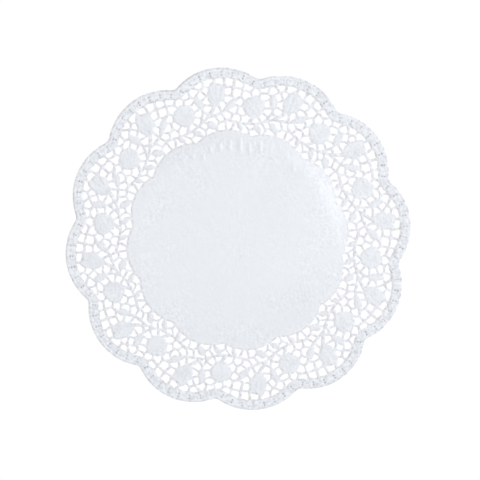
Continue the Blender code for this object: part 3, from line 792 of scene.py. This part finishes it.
def build_sheet():
    """The flat pattern of the sheet: places and triangles."""
    outer = outer_outline()
    fixed = np.vstack(GAP_OUTLINES + [outer])
    # groups of points, and how clear of one another they stay
    groups = [
        (rose_points(), 0.5), (hem_points(), 0.55), (motif_grid(CARNATION, 1.0), 0.7),
        *[(motif_grid(leaf, 0.9), 0.6) for leaf in LEAVES],
        (net_points(), 0.78), (centre_points(), 0.75),
    ]
    within = []
    for points, room in groups:
        points = points[-gap_depth(points) > OUTLINE_ROOM]
        within.append((points[edge_depth(points) > EDGE_ROOM], room))
    inner = thinned(within, fixed)
    rims, plain = [
        np.vstack([turned(points, STEP * repeat) for repeat in range(REPEATS)])
        for points in (fixed, inner)
    ]
    plain = plain[~(on_crease(plain) & (-gap_depth(plain) > CREASE_ROOM))]
    plane = np.vstack([rims, plain, crease_points()])
    edges = []
    for repeat in range(REPEATS):
        start = repeat * len(fixed)
        for outline in GAP_OUTLINES:
            size = len(outline)
            edges += [(start + k, start + (k + 1) % size) for k in range(size)]
            start += size
        edges += [(start + k, start + k + 1) for k in range(len(outer) - 1)]
        following = ((repeat + 1) % REPEATS + 1) * len(fixed) - len(outer)
        edges.append((start + len(outer) - 1, following))
    made = delaunay_2d_cdt([Vector(p) for p in plane], edges, [], 0, 1e-5, True)
    where = np.array([v[:] for v in made[0]])
    faces = np.array(made[2])
    middles = where[faces].mean(1)
    inside = (gap_depth(middles) < 0) & (edge_depth(middles) > -0.02)
    return where, faces[inside]


def wavered(points):
    """The points with the outer edge moved in and out by the sheet's uneven cut."""
    angle, radius = polar(points)
    out = sum(high * np.cos(np.radians(count * angle + turn)) for count, high, turn in WAVES)
    out *= ramp(radius, *WAVE_RADII)
    return points * (1 + out / np.maximum(radius, 1))[:, None]


def added(name, data):
    """A new object in the scene."""
    thing = bpy.data.objects.new(name, data)
    bpy.context.scene.collection.objects.link(thing)
    return thing


def shell(name, where, faces):
    """A closed sheet: the pressed face, the same face under it, and the cut edges."""
    count = len(where)
    depth = -gap_depth(where)
    from_middle = in_scallop(where - np.array(PIT_SHIFT))
    height = relief(folded(where), depth) - PIT_DEPTH * pit_depth(from_middle)
    top = LIFT + PAPER + height + swells(where)
    directed = faces[:, [0, 1, 1, 2, 2, 0]].reshape(-1, 2)
    pairs = np.sort(directed, axis=1) @ np.array([count, 1])
    _, first, uses = np.unique(pairs, return_index=True, return_counts=True)
    rim = directed[first[uses == 1]]
    walls = np.stack([rim[:, 1], rim[:, 0], rim[:, 0] + count, rim[:, 1] + count], -1)
    spread = wavered(where)
    points = np.vstack([np.column_stack([spread, top]), np.column_stack([spread, top - PAPER])])
    polygons = faces.tolist() + (faces[:, ::-1] + count).tolist() + walls.tolist()
    mesh = bpy.data.meshes.new(name)
    mesh.from_pydata((points * MM).tolist(), [], polygons)
    kept = {
        "depth": depth,
        "scallop": np.column_stack([from_middle, edge_depth(where)]),
        "motif": motif_places(folded(where)),
    }
    for label, value in kept.items():
        kind, part = ("FLOAT", "value") if value.ndim == 1 else ("FLOAT_VECTOR", "vector")
        layer = mesh.attributes.new(label, kind, "POINT")
        both = np.concatenate([value, value]).astype(np.float32)
        layer.data.foreach_set(part, both.ravel())
    mesh.shade_smooth()
    ends = np.zeros(len(mesh.edges) * 2, np.int64)
    mesh.edges.foreach_get("vertices", ends)
    numbered = np.array([2 * count, 1])
    ends = np.sort(ends.reshape(-1, 2), axis=1) @ numbered
    rims = np.sort(np.vstack([rim, rim + count]), axis=1) @ numbered
    layer = mesh.attributes.new("sharp_edge", "BOOLEAN", "EDGE")
    layer.data.foreach_set("value", np.isin(ends, rims))
    return added(name, mesh)


# ---- signals in a material

class Signal:
    """A value in a material's nodes that sums and products can be made of."""

    def __init__(self, socket):
        self.socket = socket

    def __add__(self, other):
        return math_node("ADD", self, other)

    def __sub__(self, other):
        return math_node("SUBTRACT", self, other)

    def __mul__(self, other):
        return math_node("MULTIPLY", self, other)


def new_material(name):
    """A material with nodes, its node tree and its shader."""
    material = bpy.data.materials.new(name)
    material.use_nodes = True
    return material, material.node_tree, material.node_tree.nodes["Principled BSDF"]


def fill(socket, value):
    """Link a signal to a socket, or set the socket."""
    if isinstance(value, Signal):
        socket.id_data.links.new(value.socket, socket)
    else:
        socket.default_value = value


def new_node(kind, values=(), **settings):
    """A node of the material, with its inputs filled by name or place, and settings."""
    node = tree.nodes.new(kind)
    for label, setting in settings.items():
        setattr(node, label, setting)
    for label, value in dict(values).items():
        fill(node.inputs[label], value)
    return node


def math_node(operation, *values):
    """The signal of a math node."""
    return Signal(new_node("ShaderNodeMath", enumerate(values), operation=operation).outputs[0])


def cosine(value):
    """The cosine of a signal in radians."""
    return math_node("COSINE", value)


def length(x, y):
    """The length of two signals' vector."""
    return math_node("SQRT", x * x + y * y)


def step(value, start, end):
    """A smooth step of a signal from 0 at the start to 1 at the end."""
    values = {
        "Value": value, "From Min": min(start, end), "From Max": max(start, end),
        "To Min": float(start > end), "To Max": float(start < end),
    }
    node = new_node("ShaderNodeMapRange", values, interpolation_type="SMOOTHSTEP")
    return Signal(node.outputs[0])


def hump(value, middle, half):
    """A smooth hump of a signal about a middle."""
    return step(math_node("ABSOLUTE", value - middle), half, 0)


def parts(socket):
    """The three parts of a vector."""
    node = new_node("ShaderNodeSeparateXYZ", {"Vector": Signal(socket)})
    return [Signal(part) for part in node.outputs]


def attribute(name):
    """A value kept at the mesh's points, and its three parts."""
    node = new_node("ShaderNodeAttribute", attribute_name=name)
    return Signal(node.outputs["Fac"]), parts(node.outputs["Vector"])


def object_place():
    """The place on an object in metres, and its three parts."""
    socket = new_node("ShaderNodeTexCoord").outputs["Object"]
    return Signal(socket), parts(socket)


def grain(scale, detail, vector=None, roughness=0.5):
    """Noise about 0 over the sheet, with so many grains to a metre."""
    values = {"Scale": scale, "Detail": detail, "Roughness": roughness}
    values["Vector"] = vector or place_on_sheet
    return Signal(new_node("ShaderNodeTexNoise", values).outputs["Fac"]) - 0.5


def joined(x, y, z):
    """Three signals as one vector."""
    return Signal(new_node("ShaderNodeCombineXYZ", {"X": x, "Y": y, "Z": z}).outputs[0])


def mixed(first, second, share):
    """Two colours mixed by a signal; the first may be a signal too."""
    values = {"Factor": share, "A": first, "B": second}
    return Signal(new_node("ShaderNodeMix", values, data_type="RGBA").outputs["Result"])


# ---- the paper

paper, tree, shader = new_material("paper")
place_on_sheet, (place_x, place_y, _) = object_place()
radius = length(place_x, place_y)
aim = math_node("ARCTAN2", place_y, place_x) * math.degrees(1)
depth, _ = attribute("depth")
_, (scallop_x, scallop_y, inside) = attribute("scallop")
_, (motif_x, motif_y, motif_kind) = attribute("motif")


def on_side(x, y, start, end):
    """How far a place is on one side, which starts and is whole so many metres along x, y."""
    return step(place_x * x + place_y * y, start, end)


def in_zone(middle, half, comes, goes=(0.096, 0.086)):
    """The share of a zone about a direction in degrees, between radii in metres."""
    return hump(aim, middle, half) * step(radius, *comes) * step(radius, *goes)


in_net = step(radius, start=0.086, end=0.096)
in_motif = step(motif_kind, start=0.2, end=0.8)
left = on_side(x=-0.94, y=0.34, start=0.02, end=0.09)
lower_left = on_side(x=-0.72, y=-0.69, start=0.07, end=0.13)
right = on_side(x=0.9, y=0.4, start=0.02, end=0.085)
top_line = hump(aim, middle=99, half=13)

# places in the hem: how far in, and millimetres along from the nearest pair of pits
reach = length(scallop_x, scallop_y)
turn = math_node("ARCTAN2", scallop_y, scallop_x) * math.degrees(1)
row = math_node("SUBTRACT", ARC, reach)
from_pair = math_node("WRAP", turn, PIT_TURN, 0.0) - PIT_TURN / 2
beside = from_pair * math.radians(1) * reach
in_hem = step(row, start=10.5, end=9.5) * step(row, start=-3, end=-2)
in_hem *= step(math_node("ABSOLUTE", turn), start=47, end=46)


def around_pair(along, across):
    """A patch around each pair of pits, reaching so far along and across the hem."""
    return hump(beside, 0, along) * hump(row, PAIR_MIDDLE, across) * in_hem


pits, deeper_pits = [step(length(beside, row - at), PIT_RADIUS, 0) for at in PIT_ROWS]
pits = math_node("MAXIMUM", pits, deeper_pits) * in_hem
beads = cosine((from_pair + (PIT_TURN / 2 - BEAD_TURN)) * (2 * math.pi * BEADS / PIT_TURN))
bead_gaps = beads * hump(inside, middle=0.9, half=0.9) * in_hem

# grain of several kinds
ragged = step(row, start=6.0, end=8.5) * INNER_GRAIN
ragged += step(inside, start=1.7, end=0.4) * OUTER_GRAIN + 1
hem_grain = grain(340, 1.0) * ragged * in_hem
hem_ribs = grain(1, 1.5, joined(turn * 0.62, row * 0.45, 0.0)) * in_hem
mottle = grain(200, 2.5, roughness=0.6) * (right + 1)
speckle = grain(430, 0.6) * (grain(45, 0.0) * 4 + 1)
outward = step(radius, start=0.045, end=0.085)
centre_speckle = speckle * (outward * (1 - MIDDLE_SPECKLE) + MIDDLE_SPECKLE)
cloud = grain(28, 2.0)
fibre = grain(1900, 3.0, roughness=0.7)
wander = grain(330, 1.0)
crumple = grain(300, 0.8)
patches = step(grain(120, 0.0), start=-0.02, end=0.13)
patchy = step(grain(75, 0.0), start=-0.1, end=0.12)
elsewhere = step(grain(75, 0.0, joined(place_x, place_y, 1.0)), start=-0.1, end=0.12)

# the flowers and leaves
from_middle = length(motif_x, motif_y)
motif_turn = math_node("ARCTAN2", motif_y, motif_x)
is_rose, is_carnation, is_leaf = [
    hump(motif_kind, kind, 0.5) for kind in (IS_ROSE, IS_CARNATION, IS_LEAF)
]
filled = step(depth, start=0.7, end=1.5)
flower = (is_rose + is_carnation) * filled
fluted = cosine(motif_turn * ROSE_FLUTES + wander * 8) * step(from_middle, 5.8, 7.8) * elsewhere
around_x = cosine(motif_turn) * ROSE_STREAKS + place_x * VARIETY
around_y = math_node("SINE", motif_turn) * ROSE_STREAKS + place_y * VARIETY
streaks = grain(1, 1.0, joined(around_x, around_y, from_middle * 0.16))
streaks *= step(from_middle, 1.5, 5.0) * patchy
spiral = (from_middle + wander * 5) * (2 * math.pi / SPIRAL_PITCH) + motif_turn * 2
spiral = math_node("SINE", spiral)
rays = joined(motif_turn * CARNATION_STREAKS, from_middle * 0.1, place_x * VARIETY)
rays = grain(1, 1.0, rays) * (patchy + 0.4)
folds = cosine(motif_turn * CARNATION_FOLDS + wander * 7) * step(from_middle, 3, 7) * elsewhere
# teeth: painted shade in the notches along the carnation's outer edge
teeth = step(cosine(motif_turn * TEETH), 0, 1) * hump(motif_x, 17.6, 1.8) * is_carnation
veins = cosine((motif_x - math_node("ABSOLUTE", motif_y)) * (2 * math.pi / VEIN_PITCH))
petals = (streaks * 7.5 + fluted * 1.3 + spiral * 0.25) * is_rose
petals += (rays * 4 + folds * 0.5) * is_carnation + veins * is_leaf * 0.6
petals *= filled

# painted shade along the gaps' pressed edges, along the outer edge and in a thin line there
painted_outer_shade = hump(aim, middle=105, half=45) * TOP_EDGE_SHADE - lower_left * LEFT_EDGE_SHADE + OUTER_EDGE_SHADE
painted_edge_shade = step(depth, start=1.9, end=0.7) * (wander * EDGE_GRAIN + EDGE_SHADE)
painted_edge_shade *= in_motif * MOTIF_EDGES + 1
painted_edge_shade += teeth * TOOTH_SHADE + hump(inside, middle=1.3, half=1.2) * painted_outer_shade
painted_edge_shade += step(inside, start=1.0, end=0.3) * top_line * LINE_SHADE
# painted shade in the pits, between the two pits of each pair and between the beads
pressed = pits * (grain(65, 0.0) * PIT_GRAIN + 1) * PIT_SHADE
pressed += around_pair(along=1.3, across=2.2) * LINK_SHADE + bead_gaps * BEAD_SHADE

# the tone of the hem, of the plain centre, and of the net, with painted light and shade where noted
shade = in_hem * HEM_SHADE + hem_grain * HEM_GRAIN + hem_ribs * HEM_RIBS
# painted light about the pits, inside the shoulders and in bands along the hem and its edge
shade -= around_pair(along=2.6, across=3.4) * HALO_LIGHT
shade -= hump(depth, middle=2.5, half=1.1) * RING_LIGHT
for lit, bands in ((1, HEM_BANDS), (left, LEFT_BANDS), (top_line, LINE_BANDS)):
    for middle, half, light in bands:
        shade -= hump(inside, middle, half) * lit * light
shade -= step(inside, start=1.6, end=0.3) * lower_left * EDGE_LIGHT
shade += mottle * MOTTLE + centre_speckle * SPECKLE + cloud * CLOUD
# painted shade along the upper rim and on the lower right of the plain centre, painted light in patches
top_rim = in_zone(middle=108, half=42, comes=(0.082, 0.093), goes=(0.103, 0.096))
low_side = in_zone(middle=-48, half=48, comes=(0.04, 0.085))
patches *= in_zone(middle=57, half=25, comes=(0.052, 0.072))
shade += top_rim * TOP_SHADE + low_side * LOW_SHADE - patches * PATCH_LIGHT
# painted light on the plain centre's sides, painted shade at its top and bottom
shade += (place_y * place_y - place_x * place_x) * (in_net * -1 + 1) * UNEVEN
# painted highlight on the outer side of the bulge, with more speckle there
crescent = in_zone(middle=BULGE_MIDDLE, half=37, comes=(0.074, 0.085), goes=(0.100, 0.093))
shade += crescent * (speckle * CRESCENT_SPECKLE - CRESCENT_LIGHT)
# a random cloud in each flower, and painted shade of the petals' streaks and flutes
shade += grain(105, 0.5) * flower * FLOWER_CLOUD + petals * PETAL_SHADE
shade += filled * (in_net * NET_SHADE + in_motif * MOTIF_SHADE + FILL_SHADE)

# the paper's own tone with its painted light and shade, then painted shade along the edges and in the
# pits
colour = mixed((*PLAIN_PAPER, 1), (*SHADED_PAPER, 1), shade)
colour = mixed(colour, (*EDGE_SHADE_PAPER, 1), painted_edge_shade)
colour = mixed(colour, (*PIT_SHADE_PAPER, 1), pressed)
fill(shader.inputs["Base Color"], colour)
shader.inputs["Roughness"].default_value = 0.85
shader.inputs["Specular IOR Level"].default_value = 0.25

height = petals * PETAL_RISE + crumple * flower * (patchy + LEAST_CRUMPLE) * CRUMPLE_RISE
height += hem_grain * GRAIN_RISE + mottle * MOTTLE_RISE + centre_speckle * SPECKLE_RISE
height += fibre * FIBRE_RISE - pits * PIT_DROP
rough = new_node("ShaderNodeBump", {"Distance": MM, "Height": height})
tree.links.new(rough.outputs["Normal"], shader.inputs["Normal"])

doily = shell("paper_lace", *build_sheet())
doily.data.materials.append(paper)
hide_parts(NODE)
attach(doily, "root")

# ---- floor, camera and light

floor_mesh = bpy.data.meshes.new("floor")
floor_mesh.from_pydata([(-2, -2, 0), (2, -2, 0), (2, 2, 0), (-2, 2, 0)], [], [(0, 1, 2, 3)])
floor = added("floor", floor_mesh)
floor_material, tree, floor_shader = new_material("floor")
floor_shader.inputs["Base Color"].default_value = (0.9, 0.9, 0.9, 1)
floor_shader.inputs["Roughness"].default_value = 1.0
floor_shader.inputs["Emission Color"].default_value = (1, 1, 1, 1)
_, (floor_x, floor_y, _) = object_place()
glow = floor_x * FLOOR_GLOW_SLOPE[0] + floor_y * FLOOR_GLOW_SLOPE[1] + FLOOR_GLOW
fill(floor_shader.inputs["Emission Strength"], glow)
floor_mesh.materials.append(floor_material)

camera_data = bpy.data.cameras.new("camera")
camera_data.sensor_width = SENSOR
camera_data.lens = SENSOR * FOCAL_PIXELS / PIXELS
camera = added("camera", camera_data)
camera.location = CAMERA_PLACE
camera.rotation_euler = [math.radians(angle) for angle in CAMERA_TURN]

scene = bpy.context.scene
scene.camera = camera
scene.view_settings.view_transform = "Standard"
scene.world = bpy.data.worlds.new("world")
scene.world.use_nodes = True
sky = scene.world.node_tree.nodes["Background"]
sky.inputs["Color"].default_value = (1, 1, 1, 1)
sky.inputs["Strength"].default_value = SKY

for lamp in LAMPS:
    light = bpy.data.lights.new(lamp.name, "AREA")
    light.shape = "DISK"
    light.size = lamp.size
    light.energy = lamp.strength * math.pi * Vector(lamp.place).length_squared
    holder = added(lamp.name, light)
    holder.location = lamp.place
    holder.rotation_mode = "QUATERNION"
    holder.rotation_quaternion = Vector(lamp.place).to_track_quat("Z", "Y")
